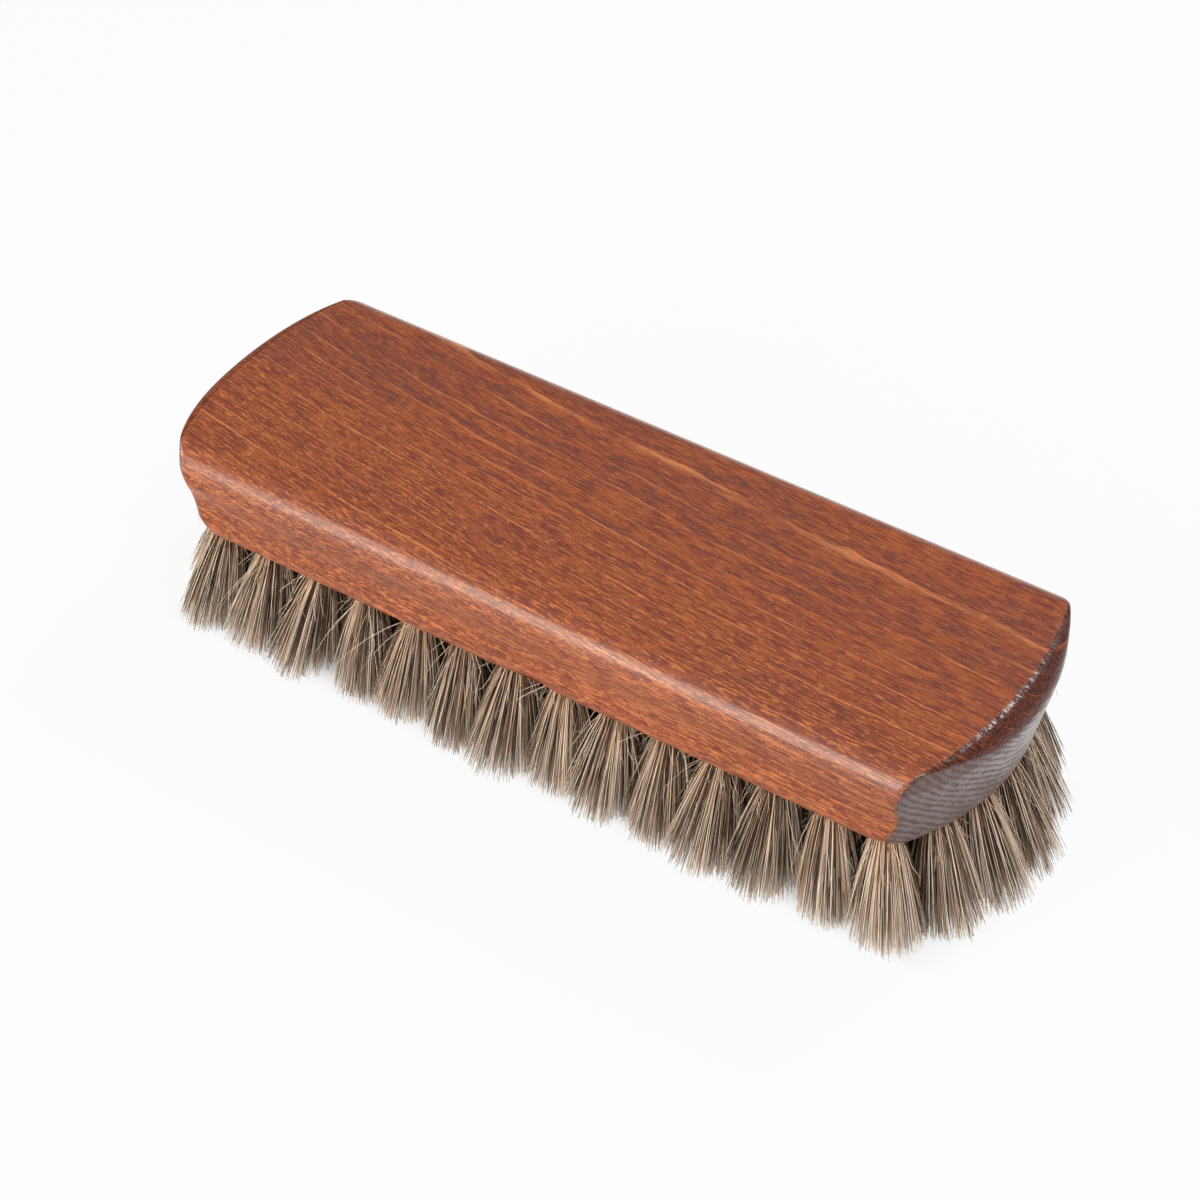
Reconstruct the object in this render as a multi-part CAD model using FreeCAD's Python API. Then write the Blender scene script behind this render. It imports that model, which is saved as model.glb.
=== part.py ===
import FreeCAD, Part
import math
import os

# Shoe shine brush: a moulded wooden block, bored from below, with a folded tuft of horsehair
# in every hole. A short length of flat wire lies in the fold of each tuft and bites into the
# wood on both sides of the hole.
# Millimetres. X runs along the brush, Y across it, Z up. The trimmed hair tips stand on Z = 0.

# Wooden block
block_length = 180.0
block_width = 61.0
block_thickness = 20.4

# Side moulding, from the top edge down to the underside
top_edge_radius = 5.6
cove_height = 6.5      # deepest line of the finger cove, above the underside
cove_depth = 2.1       # from the widest line of the block
land_height = 2.7      # fullest line of the land below the cove, above the underside
land_swell = 0.5       # how far the land stands out from the cove
base_tuck = 1.2        # how far the underside edge draws in from the land

# Curved ends
end_radius = 51.5      # in plan
end_shoulder = 4.6     # upright stretch below the top
end_undercut = 3.6     # how far the end leans in at the underside
band_radius = 92.0     # plan radius of the crease where the eased band meets the top
band_inset = 3.9       # crease to end, on the centre line
band_height = 3.3      # height of the eased band, on the centre line
band_crown = 0.9       # how far the band bulges from a plain chamfer

# Hair
hair_length = 26.0     # free height below the block
tuft_gap = 0.6         # least space between two tufts at the tips
tuft_neck = 1.2        # straight stretch below the hole, before the hair fans out
side_lean = 5.5        # degrees, outermost rows
end_lean = 14.0        # degrees, ends of the longest rows
lean_power = 3         # the lean grows towards the ends

# Holes and their spacing
hole_diameter = 5.0
hole_depth = 11.0
row_pitch = 9.4
hole_pitch = 11.5
side_margin = 4.3      # outermost hole centres to the side of the underside
end_margin = 5.0       # end hole centres to the end of the underside
hair_clearance = 0.1   # tuft in its hole, all round
seat_clearance = 0.1   # tuft to the bottom of its hole

# Flat wire anchors
wire_thickness = 0.4
wire_height = 2.0
wire_bite = 0.5        # into the wood, each side of the hole
fold_thickness = 1.0   # hair folded over the wire
wire_clearance = 0.05  # hair to wire

# Cutting solids run past the block by this much
overrun = 5.0

half_length = block_length / 2
half_width = block_width / 2
underside = hair_length
top = underside + block_thickness
underside_half_width = half_width - (cove_depth - land_swell) - base_tuck
end_axis = half_length - end_radius
underside_end_radius = end_radius - end_undercut
hole_radius = hole_diameter / 2
outer_row = underside_half_width - side_margin
end_hole_radius = underside_end_radius - end_margin
vertical = FreeCAD.Vector(0, 0, 1)


def quarter_point(upright, other):
    """Middle point of the arc that leaves the point upright vertically and ends at the point other."""
    across = other[0] - upright[0]
    rise = other[1] - upright[1]
    radius = (across ** 2 + rise ** 2) / (2 * across)
    half_turn = math.asin(rise / radius) / 2
    return (upright[0] + radius * (1 - math.cos(half_turn)), upright[1] + radius * math.sin(half_turn))


def side_points():
    """Half of the moulded section, from the underside edge up, as (inset, height) triples for arcs."""
    land = (cove_depth - land_swell, land_height)
    cove = (cove_depth, cove_height)
    widest = (0.0, block_thickness - top_edge_radius)
    base = (cove_depth - land_swell + base_tuck, 0.0)
    crown = (top_edge_radius, block_thickness)
    land_turn = ((land[0] + cove[0]) / 2, (land[1] + cove[1]) / 2)
    cove_turn = ((cove[0] + widest[0]) / 2, (cove[1] + widest[1]) / 2)
    return [
        (base, quarter_point(land, base), land),
        (land, quarter_point(land, land_turn), land_turn),
        (land_turn, quarter_point(cove, land_turn), cove),
        (cove, quarter_point(cove, cove_turn), cove_turn),
        (cove_turn, quarter_point(widest, cove_turn), widest),
        (widest, quarter_point(widest, crown), crown),
    ]


def moulded_bar():
    """The side moulding run along the whole length, ends still square."""
    def place(point, side):
        return FreeCAD.Vector(-half_length, side * (half_width - point[0]), underside + point[1])

    arcs = side_points()
    near = [Part.Arc(*[place(p, -1) for p in arc]).toShape() for arc in arcs]
    far = [Part.Arc(*[place(p, 1) for p in reversed(arc)]).toShape() for arc in reversed(arcs)]
    top_edge = Part.LineSegment(place(arcs[-1][2], -1), place(arcs[-1][2], 1)).toShape()
    base_edge = Part.LineSegment(place(arcs[0][0], 1), place(arcs[0][0], -1)).toShape()
    section = Part.Face(Part.Wire(near + [top_edge] + far + [base_edge]))
    return section.extrude(FreeCAD.Vector(block_length, 0, 0))


def turned(edges, axis_x):
    """A solid of revolution about the upright line through axis_x on the centre line."""
    solid = Part.Face(Part.Wire(edges)).revolve(FreeCAD.Vector(0, 0, 0), vertical, 360)
    solid.translate(FreeCAD.Vector(axis_x, 0, 0))
    return solid


def profile_edges(points):
    """Straight edges through (radius, height) points."""
    placed = [FreeCAD.Vector(r, 0, z) for r, z in points]
    return [Part.LineSegment(a, b).toShape() for a, b in zip(placed[:-1], placed[1:])]


def beyond(kept, axis_x):
    """What lies outside the kept solid, from its axis to past the end of the block."""
    reach = half_length + overrun - axis_x
    width = block_width + 2 * overrun
    height = block_thickness + 2 * overrun
    corner = FreeCAD.Vector(axis_x, -width / 2, underside - overrun)
    return Part.makeBox(reach, width, height, corner).cut(kept)


def end_cutter():
    """Removes what lies past the curved, undercut end."""
    low = underside - overrun
    slope = end_undercut / (block_thickness - end_shoulder)
    outline = [
        (0, low),
        (underside_end_radius - slope * overrun, low),
        (end_radius, top - end_shoulder),
        (end_radius, top + overrun),
        (0, top + overrun),
        (0, low),
    ]
    return beyond(turned(profile_edges(outline), end_axis), end_axis)


def band_cutter():
    """Removes what lies above the eased band between the top and the end."""
    axis_x = half_length - band_inset - band_radius
    run = math.hypot(band_inset, band_height)
    along = (band_inset / run, -band_height / run)
    out = (band_height / run, band_inset / run)
    crease = (band_radius, top)
    foot = (crease[0] + band_inset, top - band_height)
    crown = ((crease[0] + foot[0]) / 2 + out[0] * band_crown, (crease[1] + foot[1]) / 2 + out[1] * band_crown)
    low = (foot[0] + along[0] * overrun, foot[1] + along[1] * overrun)
    floor = underside - overrun
    rise = [FreeCAD.Vector(r, 0, z) for r, z in (foot, crown, crease)]
    edges = profile_edges([(0, floor), (low[0], floor), low, foot])
    edges.append(Part.Arc(*rise).toShape())
    edges += profile_edges([crease, (band_radius, top + overrun), (0, top + overrun), (0, floor)])
    return beyond(turned(edges, axis_x), axis_x)


def row_places():
    """Rows of holes from the near side to the far side, each a list of (x, y) hole centres."""
    rows = []
    row_count = max(2, round(2 * outer_row / row_pitch) + 1)
    for row in range(row_count):
        y = outer_row * (2 * row / (row_count - 1) - 1)
        reach = end_axis + math.sqrt(end_hole_radius ** 2 - y ** 2)
        count = max(2, round(2 * reach / hole_pitch) + 1)
        rows.append([(reach * (2 * i / (count - 1) - 1), y) for i in range(count)])
    return rows


def lean(place):
    """Sideways travel of a tuft for each millimetre that it drops."""
    x, y = place
    reach = end_axis + end_hole_radius
    along = math.copysign(end_lean * abs(x / reach) ** lean_power, x)
    across = side_lean * y / outer_row
    return math.tan(math.radians(along)), math.tan(math.radians(across))


def tip_radius(rows):
    """Half the least distance between two tuft tips, less half the gap between them."""
    tips = []
    for place in sum(rows, []):
        slope = lean(place)
        tips.append((place[0] + slope[0] * hair_length, place[1] + slope[1] * hair_length))
    nearest = min(math.dist(a, b) for i, a in enumerate(tips) for b in tips[:i])
    return (nearest - tuft_gap) / 2


def hole_placement(place):
    """Origin at the mouth of a hole, local Z up along its axis and local X along the row."""
    slope = lean(place)
    axis = FreeCAD.Vector(-slope[0], -slope[1], 1).normalize()
    row_way = FreeCAD.Vector(0, 1, 0).cross(axis).normalize()
    turn = FreeCAD.Rotation(row_way, axis.cross(row_way), axis, "ZXY")
    return FreeCAD.Placement(FreeCAD.Vector(place[0], place[1], underside), turn)


def upright_box(length, width, low, height):
    return Part.makeBox(length, width, height, FreeCAD.Vector(-length / 2, -width / 2, low))


def wire_anchor():
    """One length of flat wire, across its hole."""
    length = hole_diameter + 2 * wire_bite
    return upright_box(length, wire_thickness, hole_depth - fold_thickness - wire_height, wire_height)


def bore():
    """The drilled hole, with the two notches that the wire cuts in its wall."""
    drilled = Part.makeCylinder(hole_radius, hole_depth + overrun, FreeCAD.Vector(0, 0, -overrun))
    return drilled.fuse(wire_anchor())


def tuft(widest):
    """One folded tuft: straight in the hole and at the neck, then fanned out past the floor."""
    root_radius = hole_radius - hair_clearance
    seat = hole_depth - seat_clearance
    spread = (widest - root_radius) / (hair_length - tuft_neck)
    tip = -hair_length - overrun
    outline = [
        (0, seat),
        (root_radius, seat),
        (root_radius, -tuft_neck),
        (widest + spread * overrun, tip),
        (0, tip),
        (0, seat),
    ]
    low = hole_depth - fold_thickness - wire_height - wire_clearance
    slot = upright_box(hole_diameter, wire_thickness + 2 * wire_clearance, low, wire_height + 2 * wire_clearance)
    return turned(profile_edges(outline), 0).cut(slot)


def trimmed(hair):
    """Cut off level with the floor."""
    box = hair.BoundBox
    depth = -box.ZMin + overrun
    corner = FreeCAD.Vector(box.XMin - overrun, box.YMin - overrun, -depth)
    floor = Part.makeBox(box.XLength + 2 * overrun, box.YLength + 2 * overrun, depth, corner)
    return hair.cut(floor).Solids[0]


def placed(shape, place):
    copy = shape.copy()
    copy.Placement = hole_placement(place)
    return copy


def mirrored_end(cutter):
    return cutter.mirror(FreeCAD.Vector(0, 0, 0), FreeCAD.Vector(1, 0, 0))


def block(rows):
    """The wooden block with its moulded sides, shaped ends and blind holes."""
    cutters = []
    for cutter in (end_cutter(), band_cutter()):
        cutters += [cutter, mirrored_end(cutter)]
    shaped = moulded_bar()
    for cutter in cutters:
        shaped = shaped.cut(cutter)
    hole = bore()
    holes = Part.makeCompound([placed(hole, place) for place in sum(rows, [])])
    return shaped.cut(holes).Solids[0]


def build():
    rows = row_places()
    hair = tuft(tip_radius(rows))
    wire = wire_anchor()
    nodes = {"block": block(rows)}
    edge_count = 0
    for number, row in enumerate(rows, 1):
        tufts = [trimmed(placed(hair, place)) for place in row]
        on_side = number in (1, len(rows))
        edge = tufts if on_side else [tufts[0], tufts[-1]]
        for solid in edge:
            edge_count += 1
            nodes[f"edge_tuft_{edge_count:02d}"] = solid
        if not on_side:
            nodes[f"inner_tufts_row_{number}"] = Part.makeCompound(tufts[1:-1])
        nodes[f"wire_anchors_row_{number}"] = Part.makeCompound([placed(wire, place) for place in row])
    return nodes


os.makedirs("parts", exist_ok=True)
for name, shape in build().items():
    shape.exportStep(f"parts/{name}.step")
    print(name, "solids", len(shape.Solids), "volume", round(shape.Volume, 1), "valid", shape.isValid())
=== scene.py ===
import math

import bpy
import numpy as np
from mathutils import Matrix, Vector
from mathutils.geometry import delaunay_2d_cdt


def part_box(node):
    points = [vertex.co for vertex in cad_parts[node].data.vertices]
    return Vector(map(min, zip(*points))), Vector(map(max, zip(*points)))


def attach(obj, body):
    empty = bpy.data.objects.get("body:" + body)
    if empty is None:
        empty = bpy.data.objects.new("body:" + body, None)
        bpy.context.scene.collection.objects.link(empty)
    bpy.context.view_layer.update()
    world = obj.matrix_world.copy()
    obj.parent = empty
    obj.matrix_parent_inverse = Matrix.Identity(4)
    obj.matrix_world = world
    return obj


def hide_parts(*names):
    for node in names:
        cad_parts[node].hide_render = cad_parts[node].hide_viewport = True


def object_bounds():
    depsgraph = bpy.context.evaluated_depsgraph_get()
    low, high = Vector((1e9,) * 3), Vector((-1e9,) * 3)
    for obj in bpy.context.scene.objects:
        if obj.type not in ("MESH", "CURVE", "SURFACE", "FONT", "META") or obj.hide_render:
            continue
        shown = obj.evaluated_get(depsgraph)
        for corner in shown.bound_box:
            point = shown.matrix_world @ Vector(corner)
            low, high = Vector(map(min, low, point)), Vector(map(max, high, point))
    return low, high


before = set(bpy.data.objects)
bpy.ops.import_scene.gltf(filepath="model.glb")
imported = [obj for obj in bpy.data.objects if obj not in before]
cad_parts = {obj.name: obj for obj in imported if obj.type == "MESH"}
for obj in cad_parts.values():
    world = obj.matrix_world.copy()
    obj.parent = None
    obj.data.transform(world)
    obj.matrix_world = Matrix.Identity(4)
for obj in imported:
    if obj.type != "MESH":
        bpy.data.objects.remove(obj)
cadLow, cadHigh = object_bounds()
mm = 0.001
print("frame loaded:", len(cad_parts), "nodes")


# small helpers for node trees, used by the materials and by the bristles

def give(tree, socket, value):
    if isinstance(value, bpy.types.NodeSocket):
        tree.links.new(value, socket)
    else:
        socket.default_value = value


def place(tree, kind, feeds=None, **settings):
    made = tree.nodes.new(kind)
    for name, value in settings.items():
        setattr(made, name, value)
    for key, value in (feeds or {}).items():
        give(tree, made.inputs[key], value)
    return made


def calc(tree, operation, *values):
    return place(tree, "ShaderNodeMath", dict(enumerate(values)), operation=operation).outputs[0]


def vectorCalc(tree, operation, *values):
    made = place(tree, "ShaderNodeVectorMath", dict(enumerate(values)), operation=operation)
    return made.outputs["Value" if operation == "LENGTH" else "Vector"]


def scaled(tree, vector, factor):
    made = place(tree, "ShaderNodeVectorMath", {0: vector, "Scale": factor}, operation="SCALE")
    return made.outputs["Vector"]


def combined(tree, x, y, z):
    return place(tree, "ShaderNodeCombineXYZ", {0: x, 1: y, 2: z}).outputs[0]


def separated(tree, vector):
    return place(tree, "ShaderNodeSeparateXYZ", {0: vector}).outputs


def ramped(tree, value, low, high, toLow=0.0, toHigh=1.0):
    feeds = {0: value, 1: low, 2: high, 3: toLow, 4: toHigh}
    return place(tree, "ShaderNodeMapRange", feeds, interpolation_type="SMOOTHSTEP").outputs[0]


def mixedColor(tree, share, first, second, blend="MIX"):
    feeds = {0: share, 6: first, 7: second}
    return place(tree, "ShaderNodeMix", feeds, data_type="RGBA", blend_type=blend).outputs[2]


def noise(tree, vector, stretch, detail=2.0, roughness=0.5):
    stretched = vectorCalc(tree, "MULTIPLY", vector, stretch)
    feeds = {"Vector": stretched, "Scale": 1.0, "Detail": detail, "Roughness": roughness}
    return place(tree, "ShaderNodeTexNoise", feeds).outputs["Fac"]


def newGroup(name, kind, inputs, outputs):
    tree = bpy.data.node_groups.new(name, kind)
    for socketName, socketKind in inputs:
        tree.interface.new_socket(socketName, in_out="INPUT", socket_type="NodeSocket" + socketKind)
    for socketName, socketKind in outputs:
        tree.interface.new_socket(socketName, in_out="OUTPUT", socket_type="NodeSocket" + socketKind)
    return tree, tree.nodes.new("NodeGroupInput").outputs, tree.nodes.new("NodeGroupOutput").inputs


def newMaterial(name):
    material = bpy.data.materials.new(name)
    material.use_nodes = True
    tree = material.node_tree
    return material, tree, tree.nodes["Principled BSDF"]


# camera, from the photograph's outline

photoCamera = {
    "azimuth": 33.81,
    "elevation": 42.01,
    "distance": 669.9 * mm,
    "aim": (-1.9 * mm, -1.6 * mm, 25.8 * mm),
    "lens": 105.0,
    "sensorWidth": 36.0,
    "nearClip": 10 * mm,
}


def makeCamera(settings):
    data = bpy.data.cameras.new("photoCamera")
    data.lens = settings["lens"]
    data.sensor_width = settings["sensorWidth"]
    data.clip_start = settings["nearClip"]
    camera = bpy.data.objects.new("photoCamera", data)
    turn, rise = math.radians(settings["azimuth"]), math.radians(settings["elevation"])
    back = Vector((math.sin(turn) * math.cos(rise), -math.cos(turn) * math.cos(rise), math.sin(rise)))
    camera.location = Vector(settings["aim"]) + back * settings["distance"]
    camera.rotation_euler = (math.pi / 2 - rise, 0.0, turn)
    bpy.context.scene.collection.objects.link(camera)
    bpy.context.scene.camera = camera


makeCamera(photoCamera)
print("camera placed")


# stained beech: annual rings round a pith line above the block, fibres along the block

woodGrain = {
    "pith": (0.0, 34 * mm, 96 * mm),
    "pithTilt": 0.11,                          # sideways drift of the pith, per length
    "pithBend": -0.44,                         # and how that drift lessens, per metre
    "ringWidth": 2.4 * mm,
    "widthChange": 2.0 * mm,
    "warp": 2.0 * mm,
    "ripple": 0.7 * mm,
    "ringSeed": 3.0,
    "lineFade": 0.05,                          # where in a ring its pale line starts to fade
    "lineHeight": 0.3,                         # how far the pale lines stand up, beside the fibres
    "cloudWarmth": -0.45,                      # cloudy patches take warmth from the fibres
    "ringPatches": 2.6,                        # how far fibres and patches break up the ring mask
    "stretches": {                             # features per metre, along and across
        "warp": (20.0, 90.0, 90.0),
        "ripple": (90.0, 320.0, 320.0),
        "growth": (170.0, 0.0, 0.0),
        "patches": (60.0, 450.0, 450.0),
        "stain": (14.0, 45.0, 45.0),
        "clouds": (170.0, 560.0, 560.0),
        "fibre": (170.0, 2600.0, 2600.0),
        "fleck": (400.0, 2800.0, 2800.0),
        "speck": (1000.0, 2600.0, 2600.0),
        "streak": (60.0, 2200.0, 2200.0),
    },
    "ramps": {                                 # from and to, then what those become if not 0 and 1
        "lineEnd": (0.55, 1.0, 0.13, 0.30),
        "lineRise": (0.0, 0.04),
        "linePatches": (0.38, 0.60, 0.12, 1.0),
        "lineFibres": (0.35, 0.60, 0.55, 1.0),
        "faintRings": (0.0, 0.8, 0.6, 1.0),
        "lateRise": (0.35, 0.95),
        "latePatches": (0.68, 0.40, 0.25, 1.0),
        "flatGrain": (-60 * mm, -22 * mm),     # steep grain to flat, by distance beside the pith
        "steepDull": (0.0, 1.0, 0.3, 1.0),
        "steepFlecks": (0.0, 1.0, 1.0, 0.5),
        "stain": (0.40, 0.66),
        "mottle": (0.50, 0.68),
        "paleFleck": (0.53, 0.66),
        "darkFleck": (0.47, 0.34),
        "streak": (0.53, 0.62),
        "belowTop": (-50.2 * mm, -53 * mm),    # streaks show below the flat top, by height from the pith
        "warmth": (0.17, 0.37),
        "ringRise": (0.05, 0.45),
        "ringFall": (0.6, 1.0, 1.0, 0.0),
    },
}


def makeGrainGroup(settings):
    inputs = [("Vector", "Vector")]
    inputs += [(name, "Color") for name in ("Dark", "Mid", "Line", "Late", "Mottle", "Fleck")]
    strengths = ("Stain", "Line", "Late", "Mottle", "Fleck", "Streak")
    inputs += [(name + " Strength", "Float") for name in strengths]
    inputs += [("Ring Count", "Float")]
    outputs = [("Color", "Color"), ("Height", "Float"), ("Fibre", "Float"), ("Ring", "Float")]
    tree, given, out = newGroup("woodGrain", "ShaderNodeTree", inputs, outputs)
    x, y, z = separated(tree, vectorCalc(tree, "SUBTRACT", given["Vector"], settings["pith"]))
    drift = calc(tree, "MULTIPLY_ADD", x, settings["pithBend"], settings["pithTilt"])
    sideways = calc(tree, "MULTIPLY_ADD", x, drift, y)
    at = combined(tree, x, sideways, z)
    fromPith = vectorCalc(tree, "LENGTH", combined(tree, 0.0, sideways, z))

    def pattern(name, detail=2.0, roughness=0.5, vector=at):
        return noise(tree, vector, settings["stretches"][name], detail, roughness)

    def ramp(value, name):
        return ramped(tree, value, *settings["ramps"][name])

    def times(first, second):
        return calc(tree, "MULTIPLY", first, second)

    # distance from the pith, bent and rippled, then cut into rings of uneven width
    bend = calc(tree, "SUBTRACT", pattern("warp"), 0.5)
    ripple = calc(tree, "SUBTRACT", pattern("ripple"), 0.5)
    bent = calc(tree, "MULTIPLY_ADD", bend, settings["warp"], fromPith)
    bent = calc(tree, "MULTIPLY_ADD", ripple, settings["ripple"], bent)
    growth = pattern("growth", 1.0, vector=combined(tree, bent, 0.0, 0.0))
    uneven = calc(tree, "MULTIPLY_ADD", growth, settings["widthChange"], bent)
    rings = times(calc(tree, "DIVIDE", uneven, settings["ringWidth"]), given["Ring Count"])
    phase = calc(tree, "FRACT", rings)
    ringNumber = calc(tree, "ADD", calc(tree, "FLOOR", rings), settings["ringSeed"])
    ringNoise = place(tree, "ShaderNodeTexWhiteNoise", {"W": ringNumber}, noise_dimensions="1D")
    ringDraw = ringNoise.outputs["Value"]

    # each ring starts with a pale line, broad in some rings, and ends in darker late wood
    patchy = pattern("patches", 3.0)
    fibre = pattern("fibre", 3.0, 0.6)
    lineFall = ramped(tree, phase, settings["lineFade"], ramp(ringDraw, "lineEnd"), 1.0, 0.0)
    line = times(ramp(phase, "lineRise"), lineFall)
    line = times(line, times(ramp(patchy, "linePatches"), ramp(ringDraw, "faintRings")))
    line = times(line, ramp(fibre, "lineFibres"))
    flat = ramp(sideways, "flatGrain")
    dulled = ramp(flat, "steepDull")
    late = times(times(ramp(phase, "lateRise"), ramp(patchy, "latePatches")), dulled)

    # stain, clouds and flecks, and streaks on the sides
    stain = ramp(pattern("stain"), "stain")
    cloudy = pattern("clouds")
    mottle = times(ramp(cloudy, "mottle"), dulled)
    fleck = pattern("fleck")
    fleckShare = ramp(flat, "steepFlecks")
    paleFleck = times(ramp(fleck, "paleFleck"), fleckShare)
    darkFleck = times(ramp(pattern("speck"), "darkFleck"), fleckShare)
    streak = times(ramp(pattern("streak"), "streak"), ramp(z, "belowTop"))

    warmth = calc(tree, "MULTIPLY_ADD", cloudy, settings["cloudWarmth"], fibre)
    color = mixedColor(tree, ramp(warmth, "warmth"), given["Dark"], given["Mid"])
    layers = [(stain, "Stain", "Late"), (late, "Late", "Late"), (mottle, "Mottle", "Mottle"),
              (line, "Line", "Line"), (streak, "Streak", "Line"),
              (paleFleck, "Fleck", "Fleck"), (darkFleck, "Fleck", "Late")]
    for share, strength, over in layers:
        color = mixedColor(tree, times(share, given[strength + " Strength"]), color, given[over])
    give(tree, out["Color"], color)
    grooves = calc(tree, "ADD", fibre, fleck)
    give(tree, out["Height"], calc(tree, "MULTIPLY_ADD", line, settings["lineHeight"], grooves))
    give(tree, out["Fibre"], fibre)
    hump = times(ramp(phase, "ringRise"), ramp(phase, "ringFall"))
    patches = calc(tree, "SUBTRACT", calc(tree, "ADD", fibre, patchy), 1.0)
    give(tree, out["Ring"], calc(tree, "MULTIPLY_ADD", patches, settings["ringPatches"], hump))
    return tree


grainGroup = makeGrainGroup(woodGrain)

woodLacquer = {
    "fibreRange": (0.3, 0.7),                  # fibre values from the smoothest wood to the roughest
    "coatIor": 1.5,
    "sheenRoughness": 0.4,
    "polishRise": (40 * mm, 43 * mm),          # rounded edges take their polish between these heights
    "polishFall": (45.5 * mm, 46.3 * mm),
}
longGrain = {
    "Dark": (0.218, 0.056, 0.034, 1.0),
    "Mid": (0.375, 0.102, 0.040, 1.0),
    "Line": (0.72, 0.26, 0.100, 1.0),
    "Late": (0.140, 0.051, 0.043, 1.0),
    "Mottle": (0.155, 0.059, 0.056, 1.0),
    "Fleck": (0.64, 0.215, 0.068, 1.0),
    "Stain Strength": 0.3,
    "Line Strength": 0.85,
    "Late Strength": 0.45,
    "Mottle Strength": 0.36,
    "Fleck Strength": 0.7,
    "Streak Strength": 0.4,
    "Ring Count": 1.0,
    "roughness": (0.28, 0.44),
    "ior": 1.14,
    "bumpDistance": 0.05 * mm,
    "sheen": 0.0,
    "lacquerGuide": "Fibre",
    "lacquerRange": (0.36, 0.62),
    "lacquer": (0.0, 0.3),
    "lacquerRoughness": 0.24,
    "polish": 0.9,
}
# end grain: the blue-purple in Dark and Late is partly the stain's own tone and partly painted reflection,
# the bluish grey sheen of the white floor at grazing angles
endGrain = {
    "Dark": (0.040, 0.015, 0.016, 1.0),
    "Mid": (0.115, 0.036, 0.023, 1.0),
    "Line": (0.27, 0.080, 0.038, 1.0),
    "Late": (0.044, 0.020, 0.022, 1.0),
    "Mottle": (0.18, 0.054, 0.030, 1.0),
    "Fleck": (0.27, 0.080, 0.038, 1.0),
    "Stain Strength": 0.3,
    "Line Strength": 0.45,
    "Late Strength": 0.5,
    "Mottle Strength": 0.4,
    "Fleck Strength": 0.4,
    "Streak Strength": 0.0,
    "Ring Count": 1.8,
    "roughness": (0.26, 0.50),
    "ior": 1.5,
    "bumpDistance": 0.1 * mm,
    "sheen": 0.05,
    "lacquerGuide": "Ring",
    "lacquerRange": (0.15, 0.8),
    "lacquer": (0.13, 1.0),
    "lacquerRoughness": 0.27,
    "polish": 0.0,
}
bandGrain = {
    **endGrain,
    "Dark": (0.046, 0.012, 0.009, 1.0),
    "Mid": (0.140, 0.032, 0.016, 1.0),
    "Line": (0.44, 0.100, 0.026, 1.0),
    "Late": (0.046, 0.018, 0.018, 1.0),
    "Line Strength": 0.8,
    "Ring Count": 1.0,
    "ior": 1.26,
    "sheen": 0.0,
    "lacquerGuide": "Fibre",
    "lacquerRange": (0.47, 0.60),
    "lacquer": (0.0, 0.75),
    "lacquerRoughness": 0.19,
}
paleBandGrain = {
    **bandGrain,
    "Dark": (0.13, 0.028, 0.010, 1.0),
    "Mid": (0.30, 0.074, 0.024, 1.0),
    "Line": (0.48, 0.14, 0.042, 1.0),
    "Late": (0.11, 0.030, 0.020, 1.0),
    "ior": 1.08,
    "lacquer": (0.0, 0.0),
}


def makeWoodFinish(name, settings):
    material, tree, surface = newMaterial(name)
    spot = place(tree, "ShaderNodeTexCoord").outputs["Object"]
    grain = place(tree, "ShaderNodeGroup", {}, node_tree=grainGroup)
    give(tree, grain.inputs["Vector"], spot)
    for socket in grain.inputs[1:]:
        socket.default_value = settings[socket.name]
    give(tree, surface.inputs["Base Color"], grain.outputs["Color"])
    fibre = grain.outputs["Fibre"]
    rough = ramped(tree, fibre, *woodLacquer["fibreRange"], *settings["roughness"])
    give(tree, surface.inputs["Roughness"], rough)
    feeds = {"Strength": 1.0, "Distance": settings["bumpDistance"], "Height": grain.outputs["Height"]}
    give(tree, surface.inputs["Normal"], place(tree, "ShaderNodeBump", feeds).outputs[0])
    guide = grain.outputs[settings["lacquerGuide"]]
    coated = ramped(tree, guide, *settings["lacquerRange"], *settings["lacquer"])
    height = separated(tree, spot)[2]
    onEdge = ramped(tree, height, *woodLacquer["polishRise"], 0.0, settings["polish"])
    onEdge = calc(tree, "MULTIPLY", onEdge, ramped(tree, height, *woodLacquer["polishFall"], 1.0, 0.0))
    coated = calc(tree, "MINIMUM", calc(tree, "ADD", coated, onEdge), 1.0)
    give(tree, surface.inputs["Coat Weight"], coated)
    surface.inputs["Coat Roughness"].default_value = settings["lacquerRoughness"]
    surface.inputs["Coat IOR"].default_value = woodLacquer["coatIor"]
    surface.inputs["IOR"].default_value = settings["ior"]
    surface.inputs["Sheen Weight"].default_value = settings["sheen"]
    surface.inputs["Sheen Roughness"].default_value = woodLacquer["sheenRoughness"]
    return material


woodFinishes = {
    "long": makeWoodFinish("stainedLongGrain", longGrain),
    "end": makeWoodFinish("stainedEndGrain", endGrain),
    "band": makeWoodFinish("stainedBandGrain", bandGrain),
    "leftBand": makeWoodFinish("palerBandGrain", paleBandGrain),
}
print("wood finishes made")


# wooden block: moulded sides, curved undercut ends, eased band at each end of the top

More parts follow.
